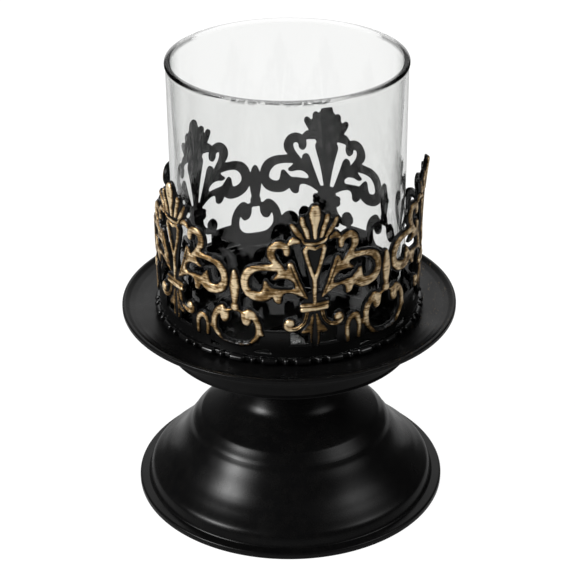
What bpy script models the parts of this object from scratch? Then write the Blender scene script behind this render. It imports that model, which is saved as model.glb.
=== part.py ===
"""Pillar candle holder: a spun black foot and dish, a filigree gallery and a loose glass chimney.

Units are metres with +Z up and the origin under the middle of the foot. Azimuth 0 is the front (-Y)
and grows towards +X. Every object is one separate physical piece of the holder.
"""

import math

import bmesh
import bpy
from mathutils import Vector
from mathutils.geometry import delaunay_2d_cdt

# ---- driving dimensions -------------------------------------------------------------------------

MM = 0.001
GAP = 0.3                 # clearance between neighbouring pieces, in mm
SEGMENTS = 48             # facets round every large turned piece

FOOT_R = 57.0             # outside of the foot's flat flange
FLANGE_T = 2.4            # thickness of that flange
RISER_R = 53.4            # low wall that stands on the flange
SHELF_Z = 24.3            # top of the bell's flat shelf, which carries the dome
SHELF_R = 36.6            # outer edge of that shelf
SHEET = 1.2               # sheet thickness of the bell and the dome

DOME_TOP_Z = 57.9         # top of the neck
DISH_R = 60.0             # rolled rim of the dish
DISH_RIM_Z = 75.2         # top of that rim
WELL_R = 43.9             # inside of the dish's central well
WELL_FLOOR_Z = 59.9       # candle seat
SEAT_R = 38.6             # outer edge of that seat, just inside the chimney
GROOVE_Z = 59.5           # shallow groove round the seat, in which the chimney stands
WELL_BASE_Z = 58.2        # underside of the well
SAUCER_Z = 73.0           # flat part of the dish round the well

GLASS_R = 41.0            # outside of the chimney
GLASS_WALL = 2.0
GLASS_LIP_R = 41.43       # fire-polished lip
GLASS_TOP_Z = 165.57

BOLT_R = 2.5              # M5 centre bolt
BOLT_HOLE_R = 2.8
BOLT_HEAD_R = 4.6
BOLT_END_Z = 15.0

GALLERY_R = 45.6          # inside of the filigree panels
GALLERY_T = 1.2           # their thickness
ARC_R = 46.0              # radius on which the filigree is laid out
PANEL_COUNT = 5
PITCH = 70.0              # degrees from one panel to the next
FIRST_PANEL = 11.0        # azimuth of the front panel's middle
SEAM_AFTER = 1            # the strip's ends meet after this panel
SEAM = 360.0 - PANEL_COUNT * PITCH
BAND_Z = (75.9, 79.2)     # plain band along the panels' lower edge
BEND = 9.0                # a flat panel folds along upright lines this far apart
FINE = 0.09               # smallest step kept along a panel's edge

LIFT = 110.0              # travel of the chimney, bottom edge to clear of the filigree

BLACK = (0.012, 0.012, 0.013)
GOLD = (0.42, 0.27, 0.12)
STEEL = (0.55, 0.55, 0.56)

# ---- helpers ------------------------------------------------------------------------------------


def clear_scene():
    for old in list(bpy.data.objects):
        bpy.data.objects.remove(old, do_unlink=True)


def finish_material(name, colour, roughness, metallic, alpha=1.0):
    mat = bpy.data.materials.new(name)
    mat.use_nodes = True
    shader = mat.node_tree.nodes["Principled BSDF"]
    shader.inputs["Base Color"].default_value = (*colour, 1.0)
    shader.inputs["Roughness"].default_value = roughness
    shader.inputs["Metallic"].default_value = metallic
    shader.inputs["Alpha"].default_value = alpha
    return mat


def add_object(name, bm, mat, parent):
    """Make a closed bmesh, drawn in mm, into a named object in metres."""
    bmesh.ops.recalc_face_normals(bm, faces=bm.faces)
    bmesh.ops.scale(bm, vec=Vector((MM, MM, MM)), verts=bm.verts)
    mesh = bpy.data.meshes.new(name)
    bm.to_mesh(mesh)
    bm.free()
    mesh.materials.append(mat)
    obj = bpy.data.objects.new(name, mesh)
    bpy.context.scene.collection.objects.link(obj)
    obj.parent = parent
    return obj


def on_circle(radius, azimuth):
    return radius * math.sin(azimuth), -radius * math.cos(azimuth)


def turned(bm, profile, segments=SEGMENTS):
    """Spin a closed (radius, z) outline round Z; a point on the axis becomes one pole."""
    rings = []
    for radius, z in profile:
        if radius == 0.0:
            rings.append([bm.verts.new((0.0, 0.0, z))])
            continue
        ring = []
        for k in range(segments):
            x, y = on_circle(radius, math.tau * k / segments)
            ring.append(bm.verts.new((x, y, z)))
        rings.append(ring)
    for here, there in zip(rings, rings[1:] + rings[:1]):
        if len(here) == 1 and len(there) == 1:
            continue
        for k in range(segments):
            n = (k + 1) % segments
            corners = [here[k % len(here)], here[n % len(here)], there[n % len(there)], there[k % len(there)]]
            bm.faces.new(list(dict.fromkeys(corners)))


def turned_object(name, profile, mat, parent, segments=SEGMENTS):
    bm = bmesh.new()
    turned(bm, profile, segments)
    return add_object(name, bm, mat, parent)


# ---- flat outlines for the filigree: (s, z) in mm, s along the circumference ----------------------


def smooth_line(points, steps=2):
    """Catmull-Rom curve through the points."""
    ends = [points[0]] + list(points) + [points[-1]]
    line = []
    for k in range(len(points) - 1):
        p0, p1, p2, p3 = (Vector(p) for p in ends[k:k + 4])
        for i in range(steps):
            t = i / steps
            line.append(0.5 * (2 * p1 + (p2 - p0) * t + (2 * p0 - 5 * p1 + 4 * p2 - p3) * t ** 2
                               + (3 * p1 - p0 - 3 * p2 + p3) * t ** 3))
    line.append(Vector(points[-1]))
    return line


def stroke(points, widths, steps=2):
    """Outline of a bar that follows the points; widths are its half widths from end to end."""
    line = smooth_line(points, steps)
    left = []
    right = []
    for k, here in enumerate(line):
        ahead = line[min(k + 1, len(line) - 1)]
        behind = line[max(k - 1, 0)]
        along = (ahead - behind).normalized()
        place = k / (len(line) - 1) * (len(widths) - 1)
        low = min(int(place), len(widths) - 2)
        half = widths[low] + (widths[low + 1] - widths[low]) * (place - low)
        side = Vector((-along.y, along.x)) * half
        left.append(here + side)
        right.append(here - side)
    tip = line[-1] + (line[-1] - line[-2]).normalized() * widths[-1] * 0.7
    return left + [tip] + right[::-1]


def disc(centre, radius, count=8):
    return [Vector((centre[0] + radius * math.cos(math.tau * k / count),
                    centre[1] + radius * math.sin(math.tau * k / count))) for k in range(count)]


def outline(*points):
    return [Vector(p) for p in points]


def mirrored(shape):
    return [Vector((-p.x, p.y)) for p in shape]


def palmette():
    middle = outline((1.2, 117.5), (2.3, 121.0), (2.2, 125.5), (1.2, 128.6), (0.0, 130.0),
                     (-1.2, 128.6), (-2.2, 125.5), (-2.3, 121.0), (-1.2, 117.5))
    second = stroke([(1.6, 118.2), (3.7, 121.4), (4.2, 125.0)], [1.0, 1.5, 1.1])
    third = stroke([(2.6, 118.0), (6.2, 119.9), (8.0, 122.4)], [1.0, 1.5, 1.0])
    return [middle, second, mirrored(second), third, mirrored(third)]


def vase():
    body = outline((-1.5, 94.0), (1.5, 94.0), (1.6, 100.0), (2.8, 106.0), (4.2, 112.5), (4.4, 118.6),
                   (-4.4, 118.6), (-4.2, 112.5), (-2.8, 106.0), (-1.6, 100.0))
    tie = outline((-5.0, 91.6), (5.0, 91.6), (5.4, 93.3), (5.0, 95.2), (-5.0, 95.2), (-5.4, 93.3))
    below = outline((-3.9, 89.2), (3.9, 89.2), (4.2, 92.2), (-4.2, 92.2))
    stem = outline((-1.2, 78.0), (1.2, 78.0), (1.0, 84.0), (1.5, 90.0), (-1.5, 90.0), (-1.0, 84.0))
    return [body, tie, below, stem]


def scroll_work():
    """One side of the motif, on the right of its middle."""
    upper = stroke([(3.8, 118.2), (7.6, 119.0), (12.2, 117.3), (15.0, 114.7), (13.8, 111.7), (10.7, 112.0)],
                   [0.9, 0.9, 1.1, 1.2, 1.0, 0.9])
    leaf = outline((0.5, 96.2), (4.8, 96.9), (7.0, 102.3), (9.6, 104.3), (14.0, 105.5), (11.8, 107.2),
                   (10.2, 109.2), (9.6, 111.4), (7.7, 111.6), (6.2, 109.0), (4.6, 102.5), (2.6, 98.8))
    outer = stroke([(10.2, 107.6), (15.0, 109.1), (19.6, 109.0), (23.6, 107.0), (24.9, 103.4),
                    (23.4, 99.2), (20.3, 97.9), (18.2, 100.3)],
                   [1.2, 1.2, 1.2, 1.3, 1.3, 1.2, 1.2, 1.2])
    arm = outline((2.0, 94.4), (5.4, 94.6), (10.0, 97.3), (12.5, 94.8), (15.2, 98.2), (18.9, 98.9),
                  (18.6, 101.4), (14.0, 101.2), (9.6, 101.2), (5.6, 99.4), (3.0, 97.5))
    side = stroke([(2.6, 90.6), (5.6, 89.8), (6.8, 87.6), (8.5, 87.6)], [1.0, 0.9, 1.0, 1.2])
    arch = stroke([(9.6, 78.0), (9.8, 84.3), (12.2, 86.9), (14.6, 84.3), (14.9, 78.0)],
                  [0.9, 0.9, 1.1, 0.9, 0.9])
    link = outline((10.6, 83.6), (18.3, 83.6), (18.3, 85.2), (10.6, 85.2))
    return [upper, leaf, outer, arm, side, arch, link]


def lyre(middle):
    """Ring, hooks and spindle that stand between two motifs."""
    ring = []
    hole = []
    for k in range(16):
        turn = math.tau * k / 16
        ring.append(Vector((middle + 9.3 * math.cos(turn), 86.2 + 9.3 * math.sin(turn))))
        hole.append(Vector((middle + 7.2 * math.cos(turn), 86.4 + 7.2 * math.sin(turn))))
    hook = stroke([(7.0, 91.0), (4.6, 92.8), (2.9, 91.2), (2.2, 89.2)], [0.9, 0.8, 0.9, 1.0])
    link = outline((-3.4, 91.0), (3.4, 91.0), (3.4, 92.6), (-3.4, 92.6))
    spindle = outline((-0.9, 94.0), (0.9, 94.0), (1.0, 96.5), (1.5, 101.0), (0.9, 104.5), (0.0, 107.2),
                      (-0.9, 104.5), (-1.5, 101.0), (-1.0, 96.5))
    added = [hook, mirrored(hook), link, spindle, disc((0.0, 93.4), 1.7)]
    moved = [[Vector((p.x + middle, p.y)) for p in shape] for shape in added]
    return ring, hole, moved


def panel_outlines(rivet_holes):
    """All the outlines of a panel, and the holes that are cut through them."""
    half = ARC_R * math.radians(PITCH) / 2
    left_end = -half - 9.3
    right_end = left_end + 2 * half - GAP
    ring, hole, lyre_parts = lyre(-half)
    band = outline((left_end, BAND_Z[0]), (right_end, BAND_Z[0]), (right_end, BAND_Z[1]), (left_end, BAND_Z[1]))
    solids = palmette() + vase() + lyre_parts + [band]
    for shape in scroll_work():
        solids += [shape, mirrored(shape)]
    holes = [disc((s, sum(BAND_Z) / 2), 0.9, 8) for s in rivet_holes]
    return solids, ring, hole, holes


def anticlockwise(shape):
    area = sum(p.x * q.y - q.x * p.y for p, q in zip(shape, shape[1:] + shape[:1]))
    return shape if area > 0 else shape[::-1]


def triangulated(shapes):
    """Triangles of overlapping outlines, with the numbers of the outlines each one lies in."""
    points = []
    faces = []
    for shape in shapes:
        faces.append(list(range(len(points), len(points) + len(shape))))
        points += anticlockwise(shape)
    verts, _, tris, _, _, sources = delaunay_2d_cdt(points, [], faces, 1, 1e-3)
    return verts, tris, sources


def border(verts, tris):
    """Closed loops of points round a set of triangles."""
    sides = {(a, b) for tri in tris for a, b in zip(tri, list(tri[1:]) + [tri[0]])}
    follow = {a: b for a, b in sides if (b, a) not in sides}
    loops = []
    while follow:
        start, here = next(iter(follow.items()))
        del follow[start]
        loop = [start]
        while here != start:
            loop.append(here)
            here = follow.pop(here)
        loops.append([verts[k] for k in loop])
    return loops


def thinned(loop):
    """The loop without the points that stand less than FINE off the line between their neighbours."""
    kept = list(loop)
    k = 0
    while k < len(kept) and len(kept) > 4:
        before, here, after = kept[k - 1], kept[k], kept[(k + 1) % len(kept)]
        chord = after - before
        off = abs(chord.cross(here - before)) / max(chord.length, 1e-6)
        if off < FINE or (here - before).length < FINE:
            kept.pop(k)
        else:
            k += 1
    return kept


def flat_union(solids, ring, ring_hole, holes):
    """Loops round the union; the ring's own hole is open unless another outline covers it."""
    verts, tris, sources = triangulated(solids + [ring, ring_hole] + holes)
    ring_id = len(solids)
    kept = []
    for tri, source in zip(tris, sources):
        covered = any(k < ring_id for k in source)
        in_ring = ring_id in source and ring_id + 1 not in source
        drilled = any(k > ring_id + 1 for k in source)
        if (covered or in_ring) and not drilled:
            kept.append(list(tri))
    return [thinned(loop) for loop in border(verts, kept)]


def inside(point, loops):
    """Even-odd rule."""
    odd = False
    for loop in loops:
        for p, q in zip(loop, loop[1:] + loop[:1]):
            if (p.y > point.y) != (q.y > point.y):
                if point.x < p.x + (q.x - p.x) * (point.y - p.y) / (q.y - p.y):
                    odd = not odd
    return odd


def filled(loops):
    """Triangles that fill the loops, cut along the bend lines."""
    points = []
    edges = []
    for loop in loops:
        first = len(points)
        edges += [(first + k, first + (k + 1) % len(loop)) for k in range(len(loop))]
        points += loop
    reach = max(abs(p.x) for p in points)
    for k in range(-int(reach / BEND), int(reach / BEND) + 1):
        edges.append((len(points), len(points) + 1))
        points += [Vector((k * BEND, 70.0)), Vector((k * BEND, 135.0))]
    verts, _, tris, _, _, _ = delaunay_2d_cdt(points, edges, [], 0, 1e-3)
    kept = [tri for tri in tris if inside(sum((verts[k] for k in tri), Vector((0.0, 0.0))) / 3, loops)]
    return verts, kept


def bent_plate(loops, azimuth):
    """Fill flat loops, thicken them and bend them round the gallery's axis."""
    flat, triangles = filled(loops)
    bm = bmesh.new()
    used = sorted({k for tri in triangles for k in tri})
    back = {}
    front = {}
    for k in used:
        turn = azimuth + flat[k].x / ARC_R
        for layer, radius in ((back, GALLERY_R), (front, GALLERY_R + GALLERY_T)):
            x, y = on_circle(radius, turn)
            layer[k] = bm.verts.new((x, y, flat[k].y))
    edges = {}
    for tri in triangles:
        bm.faces.new([front[k] for k in tri])
        bm.faces.new([back[k] for k in reversed(tri)])
        for a, b in zip(tri, tri[1:] + tri[:1]):
            edges[(a, b)] = edges.get((a, b), 0) + 1
    for a, b in edges:
        if (b, a) not in edges:
            bm.faces.new([front[b], front[a], back[a], back[b]])
    return bm


def panel_azimuth(index):
    """Middle of a panel; the seam's extra angle comes after the second one."""
    extra = SEAM if index > SEAM_AFTER else 0.0
    return math.radians(FIRST_PANEL + index * PITCH + extra)


# ---- the pieces ---------------------------------------------------------------------------------


def make_foot_bell(parent):
    """Spun bell with a flat flange that rests on the table and a shelf that carries the dome."""
    outside = [(FOOT_R, 0.0), (FOOT_R, 2.1), (FOOT_R - 0.3, FLANGE_T), (RISER_R, 2.5), (53.2, 2.9),
               (53.0, 4.0), (52.5, 5.7), (52.0, 6.7), (51.4, 7.4), (48.0, 10.0), (46.0, 11.7),
               (44.0, 13.7), (41.6, 16.7), (39.3, 20.1), (38.2, 21.6), (37.4, 22.7), (36.9, 23.6),
               (SHELF_R, SHELF_Z), (BOLT_HOLE_R, SHELF_Z)]
    inside = [(BOLT_HOLE_R, SHELF_Z - SHEET), (35.4, SHELF_Z - SHEET), (38.2, 19.4), (40.6, 16.0),
              (43.2, 12.9), (47.3, 9.1), (50.6, 6.6), (51.6, 5.0), (52.0, 0.0)]
    mat = finish_material("foot_bell_paint", BLACK, 0.22, 0.0)
    return turned_object("foot_bell", outside + inside, mat, parent)


def make_foot_dome(parent):
    """Hollow trumpet-shaped neck between the bell and the dish; its rim stands on the bell's shelf."""
    base = SHELF_Z + GAP
    outside = [(36.3, base), (35.7, 25.4), (34.2, 26.9), (33.4, 27.8), (32.8, 28.5), (32.2, 29.1),
               (27.3, 32.0), (22.3, 35.1), (21.4, 35.9), (20.9, 36.5), (20.2, 37.3), (18.7, 40.1),
               (17.5, 43.1), (16.7, 46.4), (16.2, 50.0), (16.2, 54.0), (16.8, 56.8), (17.3, DOME_TOP_Z),
               (10.4, DOME_TOP_Z), (10.1, 54.6), (BOLT_HOLE_R, 54.6)]
    inside = [(BOLT_HOLE_R, 53.4), (14.6, 53.4), (15.0, 49.9), (15.5, 46.1), (16.3, 42.8),
              (17.5, 39.7), (19.0, 36.9), (20.3, 35.3), (21.5, 34.2), (26.7, 30.9), (31.4, 28.1),
              (33.2, 26.1), (34.6, base)]
    mat = finish_material("foot_dome_paint", BLACK, 0.22, 0.0)
    return turned_object("foot_dome", outside + inside, mat, parent)


def make_dish(parent):
    """Dish with a wide saucer, a rolled rim and a deep well that seats the candle and the glass."""
    outside = [(BOLT_HOLE_R, 54.9), (8.2, 54.9), (9.8, WELL_BASE_Z), (44.2, WELL_BASE_Z), (45.0, 58.8),
               (44.6, 60.0), (44.9, 64.0), (46.2, 68.2), (49.5, 70.8), (55.0, 71.9), (59.0, 72.7),
               (DISH_R, 73.9), (59.6, 75.0), (58.8, DISH_RIM_Z)]
    inside = [(57.2, 74.3), (53.0, 73.3), (48.5, SAUCER_Z), (45.0, SAUCER_Z), (WELL_R, 72.2),
              (WELL_R, 60.8), (42.6, GROOVE_Z), (SEAT_R + 0.1, GROOVE_Z), (SEAT_R - 0.2, WELL_FLOOR_Z),
              (8.8, WELL_FLOOR_Z), (7.2, 56.3), (BOLT_HOLE_R, 56.3)]
    mat = finish_material("dish_paint", BLACK, 0.25, 0.0)
    return turned_object("dish", outside + inside, mat, parent)


def make_glass(parent):
    """Open-ended chimney with a rounded lip; it only stands in the well, so it lifts straight out."""
    inner_r = GLASS_R - GLASS_WALL
    base = GROOVE_Z + GAP
    profile = [(inner_r, base), (GLASS_R, base), (GLASS_R, 163.4), (GLASS_LIP_R, 164.6),
               (41.0, GLASS_TOP_Z), (39.6, GLASS_TOP_Z), (39.1, 164.8), (inner_r, 163.4)]
    mat = finish_material("chimney_glass", (0.93, 0.95, 0.95), 0.03, 0.0, 0.35)
    return turned_object("glass_chimney", profile, mat, parent)


def make_gallery_ring(parent):
    """Beaded ring under the filigree, with a spigot that drops into the dish's well."""
    seat = SAUCER_Z + GAP
    top = BAND_Z[0] - GAP
    profile = [(42.9, 67.0), (43.5, 67.0), (43.5, seat), (48.0, seat), (48.3, 74.4), (47.6, top),
               (45.3, top), (42.9, 74.7)]
    mat = finish_material("gallery_ring_paint", BLACK, 0.2, 0.0)
    return turned_object("gallery_ring", profile, mat, parent)


def rivet_offsets():
    """Rivet places on the two bands that meet at the seam, as distances from a panel's middle."""
    half = ARC_R * math.radians(PITCH) / 2
    left_end = -half - 9.3
    return left_end + 2.2, left_end + 2 * half - GAP - 2.2


def make_panels(parent):
    """Cast filigree panels, each a motif with the lyre on its left."""
    first_end, last_end = rivet_offsets()
    for index in range(PANEL_COUNT):
        rivets = []
        if index == SEAM_AFTER:
            rivets = [last_end]
        if index == SEAM_AFTER + 1:
            rivets = [first_end]
        bm = bent_plate(flat_union(*panel_outlines(rivets)), panel_azimuth(index))
        name = f"filigree_panel_{index + 1}"
        mat = finish_material(f"{name}_gilding", GOLD, 0.45, 0.6)
        add_object(name, bm, mat, parent)


def make_seam_plate(parent):
    """Lap plate behind the two bands where the filigree strip's ends meet."""
    first_end, last_end = rivet_offsets()
    start = panel_azimuth(SEAM_AFTER) + last_end / ARC_R
    end = panel_azimuth(SEAM_AFTER + 1) + first_end / ARC_R
    lap = 1.7 / ARC_R
    reach = (end - start + 2 * lap) * ARC_R / 2
    low, high = BAND_Z[0] + 0.2, BAND_Z[1] - 0.2
    plate = outline((-reach, low), (reach, low), (reach, high), (-reach, high))
    middle = (start + end) / 2
    holes = [disc(((turn - middle) * ARC_R, sum(BAND_Z) / 2), 0.9, 8) for turn in (start, end)]
    bm = bent_plate([plate] + holes, middle)
    shift_radius(bm, GALLERY_R - GAP - 0.8, GALLERY_R - GAP)
    add_object("seam_plate", bm, finish_material("seam_plate_paint", BLACK, 0.3, 0.0), parent)
    return start, end


def shift_radius(bm, inner, outer):
    """Move a bent plate's two skins to other radii."""
    middle = GALLERY_R + GALLERY_T / 2
    for vert in bm.verts:
        here = math.hypot(vert.co.x, vert.co.y)
        wanted = outer if here > middle else inner
        vert.co.x *= wanted / here
        vert.co.y *= wanted / here


def make_seam_rivets(parent, places):
    """Two round-headed rivets through the bands and the lap plate."""
    z = sum(BAND_Z) / 2
    inner = GALLERY_R - GAP - 0.8 - GAP
    outer = GALLERY_R + GALLERY_T + GAP
    profile = [(0.0, inner - 0.5), (1.2, inner - 0.5), (1.2, inner), (0.6, inner), (0.6, outer),
               (1.3, outer), (0.9, outer + 0.6), (0.0, outer + 0.8)]
    for number, turn in enumerate(places, 1):
        bm = bmesh.new()
        turned(bm, profile, 10)
        for vert in bm.verts:
            across, up, out = vert.co
            vert.co = Vector((out * math.sin(turn) + across * math.cos(turn),
                              -out * math.cos(turn) + across * math.sin(turn), z + up))
        name = f"seam_rivet_{number}"
        add_object(name, bm, finish_material(f"{name}_paint", BLACK, 0.3, 0.0), parent)


def make_bolt(parent):
    """Pan-headed centre bolt in the dish's dimple."""
    head = 57.9
    profile = [(0.0, BOLT_END_Z), (2.1, BOLT_END_Z), (BOLT_R, BOLT_END_Z + 0.5), (BOLT_R, head),
               (BOLT_HEAD_R, head), (BOLT_HEAD_R, head + 0.9), (3.6, 59.5), (0.0, 59.6)]
    mat = finish_material("centre_bolt_steel", STEEL, 0.3, 1.0)
    return turned_object("centre_bolt", profile, mat, parent, 24)


def washer(name, outer_r, low, high, parent):
    profile = [(BOLT_HOLE_R, low), (outer_r, low), (outer_r, high), (BOLT_HOLE_R, high)]
    return turned_object(name, profile, finish_material(f"{name}_steel", STEEL, 0.35, 1.0), parent, 24)


def make_nut(parent, low, high):
    """M5 nut, 8 mm across flats, with its round bore."""
    bm = bmesh.new()
    across_corners = 8.0 / math.cos(math.pi / 6) / 2
    rings = []
    for radius, z in ((BOLT_HOLE_R, low), (across_corners, low), (across_corners, high), (BOLT_HOLE_R, high)):
        sides = 24
        ring = []
        for k in range(sides):
            turn = math.tau * k / sides
            off_corner = (turn + math.pi / 6) % (math.pi / 3) - math.pi / 6
            hexagon = 4.0 / math.cos(math.pi / 6 - abs(off_corner))
            x, y = on_circle(hexagon if radius == across_corners else radius, turn)
            ring.append(bm.verts.new((x, y, z)))
        rings.append(ring)
    for here, there in zip(rings, rings[1:] + rings[:1]):
        for k in range(24):
            n = (k + 1) % 24
            bm.faces.new([here[k], here[n], there[n], there[k]])
    add_object("hex_nut", bm, finish_material("hex_nut_steel", STEEL, 0.35, 1.0), parent)


def make_fasteners(parent):
    make_bolt(parent)
    washer("upper_washer", 5.6, 56.6, 57.6, parent)
    shelf = SHELF_Z - SHEET - GAP
    washer("lower_washer", 6.5, shelf - 1.0, shelf, parent)
    washer("lock_washer", 4.6, shelf - 2.3, shelf - 1.0 - GAP, parent)
    nut_top = shelf - 2.3 - GAP
    make_nut(parent, nut_top - 4.0, nut_top)


def main():
    clear_scene()
    holder = bpy.data.objects.new("candle_holder", None)
    chimney = bpy.data.objects.new("glass_lift", None)
    for empty in (holder, chimney):
        bpy.context.scene.collection.objects.link(empty)
    chimney.parent = holder
    make_foot_bell(holder)
    make_foot_dome(holder)
    make_dish(holder)
    make_fasteners(holder)
    make_gallery_ring(holder)
    make_panels(holder)
    make_seam_rivets(holder, make_seam_plate(holder))
    make_glass(chimney)


main()
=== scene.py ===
"""Looks of the pillar candle holder: fine turned shells, relief filigree, beaded ring, glass and studio."""

import math

import bmesh
import bpy
import numpy as np
from mathutils import Matrix, Vector


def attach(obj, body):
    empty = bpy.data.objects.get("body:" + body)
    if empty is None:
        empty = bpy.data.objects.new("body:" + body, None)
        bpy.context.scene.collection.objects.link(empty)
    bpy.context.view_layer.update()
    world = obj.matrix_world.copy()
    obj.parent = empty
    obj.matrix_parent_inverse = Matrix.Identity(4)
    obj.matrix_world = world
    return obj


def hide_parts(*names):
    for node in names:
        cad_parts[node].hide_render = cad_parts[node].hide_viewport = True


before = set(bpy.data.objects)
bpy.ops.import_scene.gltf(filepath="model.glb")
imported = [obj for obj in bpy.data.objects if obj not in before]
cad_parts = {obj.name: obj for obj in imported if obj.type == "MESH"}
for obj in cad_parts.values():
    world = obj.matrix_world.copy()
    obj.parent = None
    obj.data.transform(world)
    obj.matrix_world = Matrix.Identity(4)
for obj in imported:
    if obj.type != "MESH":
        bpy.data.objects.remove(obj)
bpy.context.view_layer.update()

MM = 0.001
TURN = 2 * math.pi

# ---- camera, fitted to the rims of the dish, the foot and the chimney ----------------------------
CAMERA_LENS = 104.2            # mm, on a 36 mm sensor
CAMERA_PITCH = 27.88           # degrees below the horizon
CAMERA_ROLL = -0.49            # degrees
CAMERA_DISTANCE = 600.0        # mm from the aim point
CAMERA_AIM_Z = 77.94           # mm above the floor
CAMERA_SIDE = -0.36            # mm to the right of the holder's axis
SENSOR_WIDTH = 36.0            # mm

# ---- studio -------------------------------------------------------------------------------------
STUDIO_LEVEL = 0.05            # dark surroundings
BACKDROP = 1.0                 # backdrop as the camera sees it directly
THROUGH_GLASS = 0.75           # backdrop as seen through the chimney
SOFT_LIGHTS = (                # azimuth, elevation and spread in degrees, then strength
    (-64.0, 31.6, 7.5, 46.0),
    (70.0, 41.3, 9.5, 7.0),
    (180.0, 30.0, 17.0, 1.6),
)
FLOOR_HALF_WIDTH = 0.25        # metres
FLOOR_FRONT = 0.4
FLOOR_BACK = 1.2
FLOOR_GLOW = 0.97              # how bright the floor is when seen directly
FLOOR_GLEAM = 0.47             # how bright it is in reflections

# ---- colours ------------------------------------------------------------------------------------
PAINT_CLEAN = (0.0022, 0.0022, 0.0023, 1)
PAINT_DUSTY = (0.0042, 0.004, 0.0038, 1)
SCUFF_TAN = (0.16, 0.11, 0.055, 1)
SCUFF_X = (0.03, 0.05)         # metres; the scuffs come in between these, on the dish's right side
BARE_CASTING = (0.003, 0.003, 0.003, 1)
# Gold tones from low on the relief to its crests: the brushed gold is thinner low down, and the dark tone
# also paints shade down the sides while the bright tone paints a highlight on the crests.
GOLD_THIN_AND_SHADED = (0.03, 0.015, 0.003, 1)
GOLD_MIDDLE = (0.30, 0.18, 0.068, 1)
GOLD_PAINTED_HIGHLIGHT = (0.95, 0.76, 0.49, 1)
STREAK_WEAR = 0.16             # how much the brush streaks add to or take from the relief
CLOUD_WEAR = 0.26              # the same for the patchiness
GLASS_TINTS = ((0.85, 0.855, 0.85, 1), (0.875, 0.88, 0.87, 1))
# Painted shade for the glass where it is seen at a slant, standing in for the dark surroundings refracted
# there and the longer way through the wall.
GLASS_SLANT_SHADE = (0.30, 0.31, 0.30, 1)
GLASS_IOR = 1.36
LIP_Z = (0.1638, 0.1648)       # metres; the lip turns clearer between these heights
LIP_HIGHLIGHT_ALPHA = 0.4                # the lip is made partly see-through so that it reads light: a painted highlight on the lip
STEEL_TONES = ((0.42, 0.42, 0.43, 1), (0.62, 0.62, 0.61, 1))
FLOOR_TINTS = ((0.09, 0.09, 0.09, 1), (0.11, 0.11, 0.11, 1))

# ---- turned shapes ------------------------------------------------------------------------------
FINE_SEGMENTS = 224
ARC_R = 46.0                   # radius on which the filigree is laid out
PITCH = 70.0                   # degrees from one panel to the next
FIRST_PANEL = 11.0             # azimuth of the front panel's middle
SEAM_AFTER = 1                 # the strip's ends meet after this panel
PANEL_COUNT = 5
SEAM = 360.0 - PANEL_COUNT * PITCH
PANEL_R = 45.6                 # back face of the filigree
CELL = 0.22                    # grid step of the relief
FAR = 9.0                      # stands for any distance too great to matter
MARGIN = 1.0                   # how far around a shape the grid is updated
BAND_BOTTOM = 75.9
LYRE_R = 10.6                  # half width of the lyre between two motifs, with its thorns
BAND_TOP = 80.6                # black foot of the panels, as far as it is seen
PLATE_TOP = 85.2               # black webs beside the lyre


# ---- small helpers ------------------------------------------------------------------------------

def on_circle(radius, azimuth):
    """Azimuth 0 is the front (-Y) and grows towards +X."""
    return radius * math.sin(azimuth), -radius * math.cos(azimuth)


def add_piece(name, bm, mat, body, slot, *stands_for, sharp=35.0):
    """Turn a bmesh drawn in mm into a finished piece that rides on a body."""
    bmesh.ops.recalc_face_normals(bm, faces=bm.faces)
    bmesh.ops.scale(bm, vec=Vector((MM, MM, MM)), verts=bm.verts)
    mesh = bpy.data.meshes.new(name)
    bm.to_mesh(mesh)
    bm.free()
    return add_mesh(name, mesh, mat, body, slot, *stands_for, sharp=sharp)


def add_mesh(name, mesh, mat, body, slot, *stands_for, sharp=35.0):
    mesh.materials.append(mat)
    mesh.shade_smooth()
    mesh.set_sharp_from_angle(angle=math.radians(sharp))
    piece = bpy.data.objects.new(name, mesh)
    bpy.context.scene.collection.objects.link(piece)
    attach(piece, body)
    if stands_for:
        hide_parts(*stands_for)
    return piece


def filleted(points, steps=5):
    """Outline of (radius, z, fillet) points with each corner rounded by its fillet."""
    out = []
    count = len(points)
    for k in range(count):
        here = np.array(points[k][:2], float)
        fillet = points[k][2] if len(points[k]) > 2 else 0.0
        before = np.array(points[k - 1][:2], float) - here
        after = np.array(points[(k + 1) % count][:2], float) - here
        la, lb = np.linalg.norm(before), np.linalg.norm(after)
        bend = math.acos(np.clip(before @ after / (la * lb), -1, 1))
        cut = min(fillet / max(math.tan(bend / 2), 1e-3), 0.49 * la, 0.49 * lb)
        if fillet == 0.0 or cut < 0.02:
            out.append(tuple(here))
            continue
        start, end = here + before / la * cut, here + after / lb * cut
        for i in range(steps + 1):
            t = i / steps
            out.append(tuple((1 - t) ** 2 * start + 2 * t * (1 - t) * here + t * t * end))
    return out


def turned(bm, profile, segments=FINE_SEGMENTS):
    """Spin a closed (radius, z) outline round Z; a point on the axis becomes one pole."""
    rings = []
    for radius, z in profile:
        if radius == 0.0:
            rings.append([bm.verts.new((0.0, 0.0, z))])
            continue
        ring = []
        for k in range(segments):
            x, y = on_circle(radius, TURN * k / segments)
            ring.append(bm.verts.new((x, y, z)))
        rings.append(ring)
    for here, there in zip(rings, rings[1:] + rings[:1]):
        if len(here) == 1 and len(there) == 1:
            continue
        for k in range(segments):
            n = (k + 1) % segments
            corners = [here[k % len(here)], here[n % len(here)], there[n % len(there)], there[k % len(there)]]
            bm.faces.new(list(dict.fromkeys(corners)))


def panel_azimuth(index):
    extra = SEAM if index > SEAM_AFTER else 0.0
    return math.radians(FIRST_PANEL + index * PITCH + extra)


# ---- materials ----------------------------------------------------------------------------------

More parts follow.
